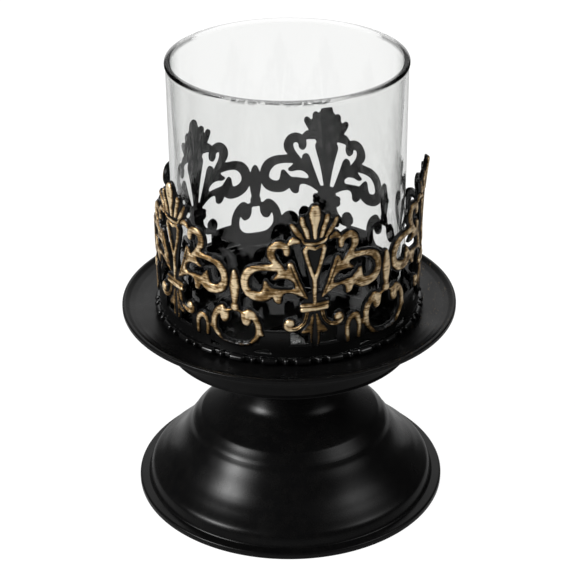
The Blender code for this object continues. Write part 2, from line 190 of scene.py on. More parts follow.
class Nodes:
    """A short way to write node trees."""

    def __init__(self, name):
        self.mat = bpy.data.materials.new(name)
        self.mat.use_nodes = True
        self.tree = self.mat.node_tree
        self.shader = self.tree.nodes["Principled BSDF"]
        coords = self.tree.nodes.new("ShaderNodeTexCoord")
        self.place = coords.outputs["Object"]

    def add(self, kind, **values):
        node = self.tree.nodes.new(kind)
        for key, value in values.items():
            setattr(node, key, value)
        return node

    def link(self, source, target):
        self.tree.links.new(source, target)

    def value(self, **sockets):
        for key, value in sockets.items():
            self.shader.inputs[key.replace("_", " ")].default_value = value

    def stretched(self, scale):
        mapping = self.add("ShaderNodeMapping")
        mapping.inputs["Scale"].default_value = scale
        self.link(self.place, mapping.inputs["Vector"])
        return mapping.outputs["Vector"]

    def noise(self, size, detail=3.0, rough=0.55, stretch=(1.0, 1.0, 1.0)):
        """Noise with features of about the given size in metres."""
        node = self.add("ShaderNodeTexNoise")
        node.inputs["Scale"].default_value = 1.0 / size
        node.inputs["Detail"].default_value = detail
        node.inputs["Roughness"].default_value = rough
        self.link(self.stretched(stretch), node.inputs["Vector"])
        return node.outputs["Fac"]

    def remap(self, source, low, high, to_low, to_high):
        node = self.add("ShaderNodeMapRange")
        node.inputs["From Min"].default_value = low
        node.inputs["From Max"].default_value = high
        node.inputs["To Min"].default_value = to_low
        node.inputs["To Max"].default_value = to_high
        self.link(source, node.inputs["Value"])
        return node.outputs["Result"]

    def math(self, operation, a, b=None):
        node = self.add("ShaderNodeMath", operation=operation)
        for slot, source in enumerate((a, b)):
            if source is None:
                continue
            if isinstance(source, (int, float)):
                node.inputs[slot].default_value = source
            else:
                self.link(source, node.inputs[slot])
        return node.outputs["Value"]

    def mix(self, fac, a, b):
        node = self.add("ShaderNodeMix", data_type="RGBA")
        for index, source in ((0, fac), (6, a), (7, b)):
            if isinstance(source, (tuple, float)):
                node.inputs[index].default_value = source
            else:
                self.link(source, node.inputs[index])
        return node.outputs[2]

    def bump(self, height, distance, strength=1.0):
        node = self.add("ShaderNodeBump")
        node.inputs["Distance"].default_value = distance
        node.inputs["Strength"].default_value = strength
        self.link(height, node.inputs["Height"])
        self.link(node.outputs["Normal"], self.shader.inputs["Normal"])


def scuffs(n, wear):
    """Where the paint is rubbed through, in patches on the right side only."""
    scuff = n.remap(n.noise(0.0022, 5.0, 0.75, (2.4, 0.5, 1.0)), 0.58, 0.66, 0.0, wear)
    patch = n.remap(n.noise(0.02, 2.0), 0.42, 0.55, 0.0, 1.0)
    place = n.add("ShaderNodeSeparateXYZ")
    n.link(n.place, place.inputs[0])
    side = n.remap(place.outputs["X"], *SCUFF_X, 0.0, 1.0)
    return n.math("MULTIPLY", n.math("MULTIPLY", scuff, patch), side)


def black_paint(name, roughness=0.24, wear=0.0, gloss=0.1):
    """Satin black enamel with a faint orange peel, a little dust and, with wear, rubbed patches."""
    n = Nodes(name)
    n.value(Specular_IOR_Level=gloss)
    dust = n.noise(0.0035, 6.0, 0.7)
    base = n.mix(n.remap(dust, 0.45, 0.8, 0.0, 1.0), PAINT_CLEAN, PAINT_DUSTY)
    if wear:
        base = n.mix(scuffs(n, wear), base, SCUFF_TAN)
    n.link(base, n.shader.inputs["Base Color"])
    smudge = n.noise(0.012, 4.0)
    n.link(n.remap(smudge, 0.35, 0.7, roughness * 0.85, roughness * 1.25), n.shader.inputs["Roughness"])
    n.bump(n.noise(0.0009, 2.0), 0.000012, 0.5)
    return n.mat


def gilding(name):
    """Black casting with antique gold brushed over the raised relief, in streaks along the brush. The gold
    lies thicker on the crests, and its tone also paints shade down the sides and a highlight on the crests.
    """
    n = Nodes(name)
    relief = n.add("ShaderNodeAttribute", attribute_name="relief").outputs["Fac"]
    streak = n.noise(0.0012, 4.0, 0.65, (0.25, 0.25, 3.0))
    cloud = n.noise(0.0035, 3.0)
    # Relief height with the brush streaks and patches: it sets where the gold lies, and also where the
    # painted shade and painted highlight fall.
    worn_and_painted_light = n.math("ADD", relief, n.remap(streak, 0.36, 0.64, -STREAK_WEAR, STREAK_WEAR))
    worn_and_painted_light = n.math("ADD", worn_and_painted_light, n.remap(cloud, 0.3, 0.7, -CLOUD_WEAR, CLOUD_WEAR))
    gold = n.remap(worn_and_painted_light, 0.42, 0.78, 0.0, 1.0)
    # Painted shade and highlight: the tone darkens down the sides of the relief and brightens on the crests,
    # along with the real thinning of the brushed gold.
    tone = n.mix(n.remap(worn_and_painted_light, 0.5, 0.98, 0.0, 1.0), GOLD_THIN_AND_SHADED, GOLD_MIDDLE)
    tone = n.mix(n.remap(worn_and_painted_light, 0.88, 1.14, 0.0, 1.0), tone, GOLD_PAINTED_HIGHLIGHT)
    base = n.mix(gold, BARE_CASTING, tone)
    n.link(base, n.shader.inputs["Base Color"])
    n.link(n.remap(gold, 0.0, 1.0, 0.0, 0.75), n.shader.inputs["Metallic"])
    n.link(n.remap(gold, 0.0, 1.0, 0.24, 0.4), n.shader.inputs["Roughness"])
    n.value(Specular_IOR_Level=0.2)
    n.bump(n.math("MULTIPLY", streak, gold), 0.00018, 0.7)
    return n.mat


def clear_glass(name):
    """Faintly uneven glass, with painted shade where it is seen at a slant, and a lip made partly see-through
    as a painted highlight.
    """
    n = Nodes(name)
    n.value(Transmission_Weight=1.0, IOR=GLASS_IOR, Roughness=0.0)
    tint = n.mix(n.noise(0.05, 1.0), *GLASS_TINTS)
    # Painted shade: the glass turns darker where it is seen at a slant, in place of the dark surroundings
    # refracted there and the longer way through the wall.
    weight = n.add("ShaderNodeLayerWeight")
    slant = n.remap(weight.outputs["Facing"], 0.62, 0.95, 0.0, 1.0)
    n.link(n.mix(slant, tint, GLASS_SLANT_SHADE), n.shader.inputs["Base Color"])
    height = n.add("ShaderNodeSeparateXYZ")
    n.link(n.place, height.inputs[0])
    # Painted highlight: the lip is partly see-through, so the bright backdrop shows where a real lip catches
    # the light.
    n.link(n.remap(height.outputs["Z"], *LIP_Z, 1.0, LIP_HIGHLIGHT_ALPHA), n.shader.inputs["Alpha"])
    n.bump(n.noise(0.03, 1.0), 0.00002, 0.4)
    return n.mat


def plated_steel(name):
    """Zinc plate with a fine, spotty grain."""
    n = Nodes(name)
    n.value(Metallic=1.0)
    spot = n.noise(0.0015, 4.0)
    n.link(n.mix(spot, *STEEL_TONES), n.shader.inputs["Base Color"])
    n.link(n.remap(spot, 0.3, 0.7, 0.22, 0.4), n.shader.inputs["Roughness"])
    n.bump(n.noise(0.0004, 2.0), 0.00001, 0.5)
    return n.mat


# ---- relief drawing: everything here is a field over a flat (s, z) grid in mm ----------------------

class Relief:
    """Signed outline distance and height of a flat casting; s runs along the circumference."""

    def __init__(self, s_range, z_range):
        self.s = np.arange(s_range[0], s_range[1] + CELL, CELL)
        self.z = np.arange(z_range[0], z_range[1] + CELL, CELL)
        self.grid_s, self.grid_z = np.meshgrid(self.s, self.z, indexing="ij")
        self.edge = np.full(self.grid_s.shape, FAR)
        self.height = np.zeros(self.grid_s.shape)

    def window(self, points, margin=MARGIN):
        """The part of the grid around some points."""
        low, high = points.min(0) - margin, points.max(0) + margin
        i0, i1 = np.searchsorted(self.s, (low[0], high[0]))
        j0, j1 = np.searchsorted(self.z, (low[1], high[1]))
        return slice(i0, i1), slice(j0, j1)

    def near_line(self, points, widths):
        """Window, distance to the bar's edge and share of its half width, for a bar along a curve."""
        line = curve(points)
        half = np.interp(np.linspace(0, 1, len(line)), np.linspace(0, 1, len(widths)), widths)
        win = self.window(line, half.max() + MARGIN)
        s, z = self.grid_s[win], self.grid_z[win]
        edge = np.full(s.shape, FAR)
        share = np.full(s.shape, FAR)
        for k in range(len(line) - 1):
            (ax, ay), (bx, by) = line[k], line[k + 1]
            dx, dy = bx - ax, by - ay
            t = np.clip(((s - ax) * dx + (z - ay) * dy) / max(dx * dx + dy * dy, 1e-9), 0, 1)
            far = np.hypot(s - ax - t * dx, z - ay - t * dy)
            wide = half[k] + t * (half[k + 1] - half[k])
            closer = far - wide < edge
            edge = np.where(closer, far - wide, edge)
            share = np.where(closer, far / wide, share)
        return win, edge, share

    def bar(self, points, widths, crest):
        """Rounded bar along a curve; widths are half widths, spread evenly over it."""
        win, edge, share = self.near_line(points, widths)
        self.edge[win] = np.minimum(self.edge[win], edge)
        dome = crest * np.sqrt(np.clip(1 - share ** 2, 0, 1))
        self.height[win] = np.maximum(self.height[win], dome)

    def outline_distance(self, ring, win):
        """Distance to a closed outline over a window of the grid, negative inside."""
        s, z = self.grid_s[win], self.grid_z[win]
        far = np.full(s.shape, FAR)
        odd = np.zeros(s.shape, bool)
        for (ax, ay), (bx, by) in zip(ring, np.roll(ring, -1, 0)):
            dx, dy = bx - ax, by - ay
            t = np.clip(((s - ax) * dx + (z - ay) * dy) / max(dx * dx + dy * dy, 1e-9), 0, 1)
            far = np.minimum(far, np.hypot(s - ax - t * dx, z - ay - t * dy))
            if dy:
                odd ^= ((ay > z) != (by > z)) & (s < ax + dx * (z - ay) / dy)
        return np.where(odd, -far, far)

    def plate(self, points, crest, bevel):
        """Flat-topped outline with rounded shoulders."""
        ring = np.array(points, float)
        win = self.window(ring)
        edge = self.outline_distance(ring, win)
        self.edge[win] = np.minimum(self.edge[win], edge)
        rise = np.clip(-edge / bevel, 0, 1)
        self.height[win] = np.maximum(self.height[win], crest * np.sqrt(1 - (1 - rise) ** 2))

    def casting(self, outline, crest, hole=None):
        """Smooth outline with raised rims and a slightly sunken middle; the hole goes right through."""
        ring = curve(outline, closed=True)
        win = self.window(ring)
        edge = self.outline_distance(ring, win)
        if hole:
            edge = np.maximum(edge, -self.outline_distance(curve(hole, closed=True), win))
        self.edge[win] = np.minimum(self.edge[win], edge)
        rise = np.clip(-edge / RIM_WIDTH, 0, 1)
        sunk = np.clip(-edge / RIM_WIDTH - 1, 0, 1)
        height = crest * np.sqrt(1 - (1 - rise) ** 2) * (1 - RIM_SINK * sunk ** 2 * (3 - 2 * sunk))
        self.height[win] = np.maximum(self.height[win], height)

    def groove(self, points, widths, depth):
        """Press a rounded line into what is there."""
        win, _, share = self.near_line(points, widths)
        self.height[win] -= depth * np.clip(1 - share ** 2, 0, 1)

    def opening(self, outline):
        """Cut right through."""
        ring = curve(outline, closed=True)
        win = self.window(ring)
        self.edge[win] = np.maximum(self.edge[win], -self.outline_distance(ring, win))


def curve(points, steps=6, closed=False):
    """Catmull-Rom curve through the points."""
    pts = np.array(points, float)
    if len(pts) == 2 and not closed:
        return pts
    if closed:
        pts = np.vstack([pts[-1], pts, pts[0], pts[1]])
    else:
        pts = np.vstack([pts[0], pts, pts[-1]])
    out = []
    t = np.linspace(0, 1, steps, endpoint=False)[:, None]
    for p0, p1, p2, p3 in zip(pts, pts[1:], pts[2:], pts[3:]):
        out.append(0.5 * (2 * p1 + (p2 - p0) * t + (2 * p0 - 5 * p1 + 4 * p2 - p3) * t ** 2
                          + (3 * p1 - p0 - 3 * p2 + p3) * t ** 3))
    return np.vstack(out + [pts[-2][None]])


def eased(line, rounds=10):
    """Soften a densely drawn line, as spinning over a former rounds every edge; its ends stay put."""
    for _ in range(rounds):
        line = np.vstack([line[:1], (line[:-2] + 2 * line[1:-1] + line[2:]) / 4, line[-1:]])
    return line


def sides(points):
    """The points as drawn on the right of the motif, and mirrored onto its left."""
    return points, [(-s, z) for s, z in points]


def mirrored(points):
    """Closed outline from its right half, drawn from the bottom up."""
    right, left = sides(points)
    return left[:1] + right + left[:0:-1]


def beside(middle, sign, points):
    """The points as seen from an axis of their own, on one side of it."""
    return [(middle + sign * s, z) for s, z in points]


# ---- the motif ----------------------------------------------------------------------------------

HIGH = 0.85                    # crest of the raised work, mm above the plate
LOW = 0.12                     # black webs between the gilded bars
BORDER = 0.32                  # ungilded edge left round the raised work
RIM_WIDTH = 1.0                # from the outline to the crest of a rim
RIM_SINK = 0.14                # how far the middle lies below the rims, as a share of the crest
PANEL_GAP = 0.3                # between the bands of two panels
OVERHANG = 10.0                # room for the work that reaches past the band's right end
TIP_Z = 131.5                  # just above the tip of the palmette


def draw_palmette(r):
    """Five lobes fanned out on a collar, with a black web behind them."""
    web = [(3.4, 116.4), (5.6, 119.2), (7.6, 122.6), (6.4, 124.4), (4.0, 126.4), (1.4, 129.4)]
    r.plate(mirrored(web), LOW, 0.6)
    r.casting([(-0.7, 119.1), (-1.0, 122.5), (-1.9, 126.0), (-2.1, 128.6), (-1.3, 130.8), (0.0, 131.4),
               (1.3, 130.8), (2.1, 128.6), (1.9, 126.0), (1.0, 122.5), (0.7, 119.1)], HIGH * 1.25)
    for k in (0, 1):
        r.casting(sides([(1.4, 119.2), (2.0, 122.3), (3.0, 125.1), (3.5, 127.2), (4.4, 127.8), (5.3, 127.0),
                         (5.1, 124.9), (4.1, 122.3), (3.1, 119.4)])[k], HIGH * 1.1)
        r.casting(sides([(3.3, 119.2), (4.6, 121.8), (6.1, 123.7), (7.1, 125.2), (8.1, 125.5), (8.6, 124.6),
                         (7.6, 122.4), (6.2, 120.4), (4.6, 119.0)])[k], HIGH)
    collar = [(-4.3, 119.0), (-3.3, 117.7), (0, 117.3), (3.3, 117.7), (4.3, 119.0)]
    r.bar(collar, [0.4, 0.6, 0.65, 0.6, 0.4], HIGH)


def draw_vase(r):
    """Slender vase, drawn by the ridge round it."""
    web = [(1.3, 95.4), (0.9, 100.0), (1.8, 105.2), (2.9, 110.0), (3.6, 113.4), (3.3, 116.8)]
    r.plate(mirrored(web), LOW, 0.5)
    for side in sides([(0.3, 104.6), (1.3, 107.4), (2.3, 110.6), (3.0, 113.4), (3.3, 115.2), (2.3, 116.2),
                       (0.9, 115.8), (0.0, 115.3)]):
        r.bar(side, [0.75, 0.75, 0.8, 0.9, 0.95, 0.9, 0.75, 0.6], HIGH)
    r.bar([(0, 105.0), (0, 100.0), (0, 95.4)], [0.95, 0.85, 0.75], HIGH)


def draw_tie(r):
    """Tie bar under the vase: a rounded bar with a groove along it."""
    r.plate(mirrored([(4.4, 92.2), (4.9, 93.8), (4.4, 95.7)]), LOW, 0.4)
    r.bar([(-4.5, 94.9), (4.5, 94.9)], [0.78, 0.78], HIGH)
    r.bar([(-4.2, 93.3), (4.2, 93.3)], [1.05, 1.05], HIGH * 1.2)
    r.plate(mirrored([(3.6, 88.2), (3.6, 92.6)]), LOW, 0.4)


SCROLLS = ((2.4, 97.9), (3.7, 101.0), (5.2, 105.0), (6.5, 108.6), (7.2, 110.5), (8.1, 111.3), (9.3, 110.7),
           (9.8, 108.9), (11.2, 110.3), (12.7, 112.4), (13.4, 114.4), (13.1, 115.9), (11.9, 116.3),
           (10.9, 115.6), (10.7, 114.3), (9.7, 113.4), (8.7, 113.9), (8.3, 115.5), (8.8, 117.4),
           (10.2, 118.7), (12.4, 119.2), (14.6, 118.4), (16.1, 116.5), (16.5, 114.3), (15.9, 112.5),
           (14.8, 111.1), (16.2, 110.6), (20.2, 110.3), (23.5, 108.9), (25.3, 106.4), (25.9, 103.3),
           (25.3, 100.3), (23.7, 98.1), (21.0, 96.8), (17.8, 96.6), (15.7, 97.5), (14.6, 98.3),
           (13.9, 96.9), (12.6, 96.0), (11.4, 96.5), (11.2, 98.2), (10.5, 99.6), (8.9, 99.9), (6.6, 99.2),
           (4.4, 98.0), (2.6, 97.0))
SCROLL_HOLE = ((12.9, 107.8), (14.6, 108.1), (17.4, 108.1), (20.3, 107.4), (22.3, 105.3), (22.9, 102.8),
               (21.8, 101.1), (19.9, 100.4), (18.6, 100.8), (18.0, 102.4), (17.6, 104.3), (16.8, 104.6),
               (15.5, 103.2), (14.2, 101.9), (12.4, 101.7), (9.9, 101.5), (7.8, 101.4), (7.0, 102.2),
               (7.3, 103.5), (8.5, 104.6), (9.9, 105.2), (12.1, 105.2), (13.6, 104.8), (14.9, 105.2),
               (13.6, 106.4))


def draw_scrolls(r, k):
    """One side of the leaf, the small scroll above it and the big C scroll beside it, cast as one."""
    r.bar(sides([(5.4, 118.4), (7.2, 119.0), (8.8, 118.0)])[k], [0.6, 1.35, 0.8], HIGH)
    r.casting(sides(SCROLLS)[k], HIGH, sides(SCROLL_HOLE)[k])
    r.groove(sides([(8.2, 109.8), (7.0, 106.4), (5.4, 102.4), (3.6, 98.8)])[k], [0.3, 0.45, 0.45, 0.2], 0.3)
    r.plate(sides([(0.0, 95.2), (3.8, 95.2), (3.0, 97.6), (2.2, 99.0), (0.0, 99.0)])[k], LOW, 0.3)


def draw_trefoil(r, k):
    """One side of the small flower that hangs under the tie bar."""
    strap = [(2.7, 92.0), (3.2, 89.9), (4.2, 88.0), (6.0, 86.6), (8.4, 86.2), (9.9, 87.0), (10.1, 88.4)]
    r.bar(sides(strap)[k], [0.8, 0.75, 0.75, 0.8, 0.9, 0.9, 0.7], HIGH * 0.95)
    r.groove(sides(strap[:5])[k], [0.25, 0.25, 0.25, 0.2, 0.1], 0.45)
    r.bar(sides([(8.4, 88.5), (8.9, 88.7)])[k], [1.55, 1.55], HIGH * 1.3)
    petal = [(0.3, 91.4), (1.5, 90.6), (2.0, 88.8), (3.3, 86.9), (4.8, 85.2), (4.4, 84.2), (2.7, 84.3),
             (2.0, 84.4), (1.9, 82.0), (1.2, 79.7), (0.6, 79.9), (0.8, 83.0), (0.5, 86.5)]
    r.casting(sides(petal)[k], HIGH * 0.75)
    r.plate(sides([(0.0, 79.5), (1.4, 79.5), (1.9, 84.0), (2.6, 89.5), (0.0, 89.5)])[k], LOW, 0.4)


def draw_arch(r):
    """Small arch beside the next lyre."""
    r.plate([(11.6, 79.0), (20.2, 79.0), (19.4, 83.4), (18.6, 86.2), (16.6, 86.8), (12.8, 86.8),
             (11.6, 84.6)], LOW, 0.4)
    r.bar([(12.4, 80.4), (12.3, 84.2), (13.0, 86.2), (14.6, 87.0), (16.2, 86.2), (16.9, 84.2), (16.7, 81.0)],
          [0.9, 1.05, 1.1, 1.15, 1.1, 1.0, 0.9], HIGH * 0.95)
    r.bar([(16.6, 85.6), (18.4, 84.4)], [0.8, 0.6], HIGH * 0.7)


LYRE_HALF = ((0.0, 78.9), (5.0, 79.8), (8.0, 81.9), (9.3, 83.4), (10.5, 83.9), (9.9, 85.8), (9.6, 88.0),
             (8.3, 90.9), (6.3, 92.9), (4.6, 93.3), (3.0, 92.3), (1.2, 92.8), (0.6, 92.0), (1.9, 91.2),
             (2.1, 89.2), (2.9, 87.3), (4.7, 86.7), (5.8, 88.0), (6.1, 89.2), (6.9, 87.8), (7.3, 85.6),
             (6.7, 83.2), (4.2, 81.1), (0.0, 80.4))


def draw_lyre(r, middle):
    """Ring that curls in under a spindle, between two motifs."""
    link = ((1.4, 101.0), (2.6, 101.2), (2.6, 102.4), (1.4, 102.6))
    for sign in (-1, 1):
        r.casting(beside(middle, sign, LYRE_HALF), HIGH)
        r.bar(beside(middle, sign, ((4.6, 91.6), (4.2, 89.2))), [1.3, 1.2], HIGH * 1.15)
        r.plate(beside(middle, sign, link), LOW, 0.2)
    spindle = [(middle, z) for z in (94.6, 97.4, 101.0, 104.4, 106.7)]
    r.bar(spindle, [0.95, 1.6, 2.15, 1.6, 0.65], HIGH * 1.2)
    r.bar([(middle, 93.3), (middle, 93.9)], [1.7, 1.7], HIGH * 1.3)


def draw_band(r, left, right, middle):
    """Plain black foot of the panel, open in a triangle on each side of the lyre's ring."""
    r.plate([(left, BAND_BOTTOM), (right, BAND_BOTTOM), (right, BAND_TOP), (left, BAND_TOP)], LOW, 0.3)
    for low, high in ((8.8, 12.0), (-19.6, -8.8)):
        r.plate([(low, BAND_BOTTOM), (high, BAND_BOTTOM), (high, PLATE_TOP), (low, PLATE_TOP)], LOW, 0.3)
    triangle = ((5.6, 77.1), (9.6, 76.8), (13.4, 77.0), (11.3, 79.4), (8.6, 79.0))
    for sign in (-1, 1):
        r.opening(beside(middle, sign, triangle))


def draw_panel():
    """One panel: a motif with the lyre on its left, on a plain band."""
    half = ARC_R * math.radians(PITCH) / 2
    left = -half - LYRE_R
    right = left + 2 * half - PANEL_GAP
    r = Relief((left - MARGIN, right + OVERHANG), (BAND_BOTTOM - MARGIN, TIP_Z + MARGIN))
    draw_band(r, left, right, -half)
    draw_palmette(r)
    draw_vase(r)
    draw_tie(r)
    for k in (0, 1):
        draw_scrolls(r, k)
        draw_trefoil(r, k)
    draw_arch(r)
    draw_lyre(r, -half)
    r.edge = np.maximum(r.edge - BORDER, left - r.grid_s)
    r.edge = np.maximum(r.edge, BAND_BOTTOM - r.grid_z)
    return r


# ---- relief to mesh -----------------------------------------------------------------------------

def outline_cells(r):
    """Cut the grid along the outline: flat points, their heights and the faces between them."""
    inside = r.edge < 0
    ids = {}
    points = []
    heights = []

    def corner(i, j):
        key = (i, j)
        if key not in ids:
            ids[key] = len(points)
            points.append((r.s[i], r.z[j]))
            heights.append(r.height[i, j])
        return ids[key]

    def crossing(a, b):
        key = (min(a, b), max(a, b))
        if key not in ids:
            (i0, j0), (i1, j1) = key
            e0, e1 = r.edge[i0, j0], r.edge[i1, j1]
            t = min(max(e0 / (e0 - e1), 0.08), 0.92)
            ids[key] = len(points)
            points.append((r.s[i0] + t * (r.s[i1] - r.s[i0]), r.z[j0] + t * (r.z[j1] - r.z[j0])))
            heights.append(0.0)
        return ids[key]

    faces = []
    touched = inside[:-1, :-1] | inside[1:, :-1] | inside[1:, 1:] | inside[:-1, 1:]
    for i, j in np.argwhere(touched):
        cell = [(i, j), (i + 1, j), (i + 1, j + 1), (i, j + 1)]
        face = []
        for k, here in enumerate(cell):
            ahead = cell[(k + 1) % 4]
            if inside[here]:
                face.append(corner(*here))
            if inside[here] != inside[ahead]:
                face.append(crossing(tuple(here), tuple(ahead)))
        faces.append(face)
    return np.array(points), np.array(heights), faces


EDGE_T = 0.75                  # plate thickness at its edge
HOLLOW = 0.45                  # how far the back follows the relief
FADE_Z = (78.6, 82.0)          # the gilding comes in between these heights
BEST_WORN_AND_HIGHLIGHT = 1.3                # the highest relief counts as this many times HIGH, for the gilding and for the painted highlight on the crests
NO_GILDING = -1.0              # relief value of the whole back
LIFT = 0.5                     # raises the motif, but not the band under it
LIFT_OVER = 6.0                # height over which the rise comes in above the band
# how the strip sits in the photo against an even spacing: azimuth, further turn (degrees), rise (mm)
STRIP_FIT = ((-129.0, 0.0, 0.0), (-59.0, 3.2, 0.0), (-8.0, 0.4, 0.0), (11.0, -0.5, 0.6), (30.0, -1.9, 2.2),
             (46.0, -1.8, 2.1), (114.0, 0.0, 0.0))
PANEL_LEAN = (0.4, 1.6, 0.3, 0.5, 0.8)    # how far each palmette's tip is bent outwards
LEAN_FROM = 105.0              # height at which a panel starts to lean
LEAN_OVER = 25.0
LEAN_HALF_WIDTH = 14.0         # the lean fades out to the sides of the palmette


def strip_fit(turn):
    """Fitted azimuth in radians and rise in mm of points that are drawn at an even spacing."""
    around = (np.degrees(turn) + 180.0) % 360.0 - 180.0
    azimuths, turns, rises = np.array(STRIP_FIT).T
    return turn + np.radians(np.interp(around, azimuths, turns)), LIFT + np.interp(around, azimuths, rises)


def gilded_relief(flat, heights):
    """How much gold each point of the front takes, and how bright it is painted: the highest relief gets the
    painted highlight.
    """
    fade = np.clip((flat[:, 1] - FADE_Z[0]) / (FADE_Z[1] - FADE_Z[0]), 0, 1)
    return np.clip(heights / HIGH, 0, BEST_WORN_AND_HIGHLIGHT) * fade


def front_back_and_sides(faces, count):
    """Faces of the closed mesh; the back's points follow the front's, and open edges get a side."""
    edges = set()
    for face in faces:
        edges.update(zip(face, face[1:] + face[:1]))
    polys = [list(face) for face in faces]
    polys += [[k + count for k in reversed(face)] for face in faces]
    polys += [[b, a, a + count, b + count] for a, b in edges if (b, a) not in edges]
    return polys


def bent_relief(name, flat, heights, faces, azimuth, lean):
    """Closed mesh of the relief, bent onto the gallery; lean tips the palmette outwards."""
    turn, rise = strip_fit(azimuth + flat[:, 0] / ARC_R)
    height = flat[:, 1] + rise * np.clip((flat[:, 1] - BAND_TOP) / LIFT_OVER, 0, 1)
    tip = np.clip((flat[:, 1] - LEAN_FROM) / LEAN_OVER, 0, 1) ** 2 * lean
    back_r = PANEL_R + tip * np.exp(-(flat[:, 0] / LEAN_HALF_WIDTH) ** 2)
    front_r = back_r + EDGE_T + heights
    back_r = back_r + HOLLOW * heights
    layers = [np.stack([radius * np.sin(turn), -radius * np.cos(turn), height], -1)
              for radius in (front_r, back_r)]
    count = len(flat)
    mesh = bpy.data.meshes.new(name)
    mesh.from_pydata((np.vstack(layers) * MM).tolist(), [], front_back_and_sides(faces, count))
    mesh.validate()
    relief = mesh.attributes.new("relief", "FLOAT", "POINT")
    values = np.concatenate([gilded_relief(flat, heights), np.full(count, NO_GILDING)])
    relief.data.foreach_set("value", values)
    return mesh


def make_panels():
    flat, heights, faces = outline_cells(draw_panel())
    for index in range(PANEL_COUNT):
        node = f"filigree_panel_{index + 1}"
        name = f"relief_{node}"
        mesh = bent_relief(name, flat, heights, faces, panel_azimuth(index), PANEL_LEAN[index])
        mat = gilding(f"{node}_gilding")
        add_mesh(name, mesh, mat, "holder", "gold_filigree", node, sharp=50.0)


# ---- turned pieces ------------------------------------------------------------------------------

def make_foot_bell():
    """Flared skirt on a flat flange, hollow underneath."""
    skirt = curve([(53.3, 2.7), (53.0, 4.0), (52.5, 5.66), (52.0, 6.65), (51.4, 7.4), (50.0, 8.45),
                   (49.0, 9.2), (48.0, 10.02), (47.0, 10.9), (46.0, 11.74), (45.0, 12.65), (44.0, 13.7),
                   (43.0, 14.83), (41.6, 16.7), (40.4, 18.45), (39.3, 20.1), (38.2, 21.6), (37.4, 22.65),
                   (37.0, 23.3), (36.6, 24.03), (36.2, 24.7)], 5)
    skirt = eased(skirt)
    inside = [(2.8, 24.3), (2.8, 23.1), (35.4, 23.1, 1.0), (38.2, 19.4, 12.0), (40.6, 16.0, 12.0),
              (43.2, 12.9, 12.0), (47.3, 9.1, 12.0), (50.6, 6.6, 2.0), (51.6, 5.0, 2.0), (52.0, 0.0, 0.3)]
    flange = [(57.0, 0.0, 0.5), (57.0, 2.35, 0.9), (53.6, 2.4, 0.3)]
    bm = bmesh.new()
    turned(bm, filleted(flange + skirt.tolist() + [(35.6, 24.3)] + inside))
    add_piece("bell_shell", bm, black_paint("bell_paint"), "holder", "black_paint", "foot_bell")


def make_foot_dome():
    """Trumpet-shaped neck whose rolled rim closes on the bell."""
    outside = curve([(36.25, 24.62), (35.7, 25.35), (35.2, 25.9), (34.2, 26.85), (33.4, 27.75),
                     (32.85, 28.35), (32.2, 28.9), (29.0, 30.85), (25.5, 33.0), (22.6, 34.9), (21.6, 35.7),
                     (20.9, 36.45), (20.2, 37.35), (19.6, 38.4), (18.7, 40.2), (17.5, 43.1), (16.7, 46.4),
                     (16.2, 50.0), (16.2, 54.0), (16.8, 56.8), (17.3, 58.0)], 5)
    outside = eased(outside)
    inside = [(10.4, 57.9), (10.1, 54.6), (2.8, 54.6), (2.8, 53.4), (14.6, 53.4, 0.5), (15.0, 49.9, 8.0),
              (15.5, 46.1, 8.0), (16.3, 42.8, 8.0), (17.5, 39.7, 6.0), (19.0, 36.9, 3.0), (20.3, 35.3, 3.0),
              (21.5, 34.2, 3.0), (26.7, 30.9, 9.0), (31.4, 28.1, 2.0), (33.2, 26.1, 2.0), (34.6, 24.4)]
    bm = bmesh.new()
    turned(bm, filleted(outside.tolist() + inside))
    add_piece("dome_shell", bm, black_paint("dome_paint"), "holder", "black_paint", "foot_dome")


def make_dish():
    """Deep well with a wide saucer round it; the seat for the candle has a groove for the chimney."""
    outside = [(2.8, 54.9), (8.2, 54.9, 0.5), (9.8, 58.2, 0.5), (44.2, 58.2, 0.3), (45.0, 58.7, 0.4),
               (44.6, 59.8, 0.4), (44.7, 63.0, 4.0), (45.6, 67.4, 6.0), (49.5, 70.8, 4.0), (55.0, 71.9, 6.0),
               (58.7, 72.6, 0.3), (59.0, 73.1, 0.2), (60.0, 73.3, 0.5), (60.0, 75.1, 0.7)]
    inside = [(58.9, 75.2, 0.5), (57.4, 74.3, 2.5), (55.4, 73.7, 4.0), (52.6, 73.3, 12.0), (48.5, 73.0, 6.0),
              (44.6, 73.0, 0.7), (43.9, 71.8, 0.5), (43.9, 59.5, 1.2), (38.8, 59.5, 0.2), (38.4, 59.9, 0.2),
              (8.8, 59.9, 0.6), (7.2, 56.3, 0.5), (2.8, 56.3)]
    bm = bmesh.new()
    turned(bm, filleted(outside + inside))
    add_piece("dish_shell", bm, black_paint("dish_paint", 0.3, wear=0.8), "holder", "black_paint", "dish")


def make_glass():
    """Straight tube with a rounded foot and a slightly flared, fire-polished lip."""
    profile = [(39.0, 59.8, 0.6), (41.0, 59.8, 0.6), (41.0, 163.2, 3.0), (41.43, 164.6, 1.0),
               (41.2, 165.57, 0.8), (39.4, 165.57, 0.9), (39.0, 163.6, 2.0)]
    bm = bmesh.new()
    turned(bm, filleted(profile, 7))
    glass = clear_glass("chimney_glass")
    add_piece("chimney", bm, glass, "chimney", "clear_glass", "glass_chimney", sharp=60.0)


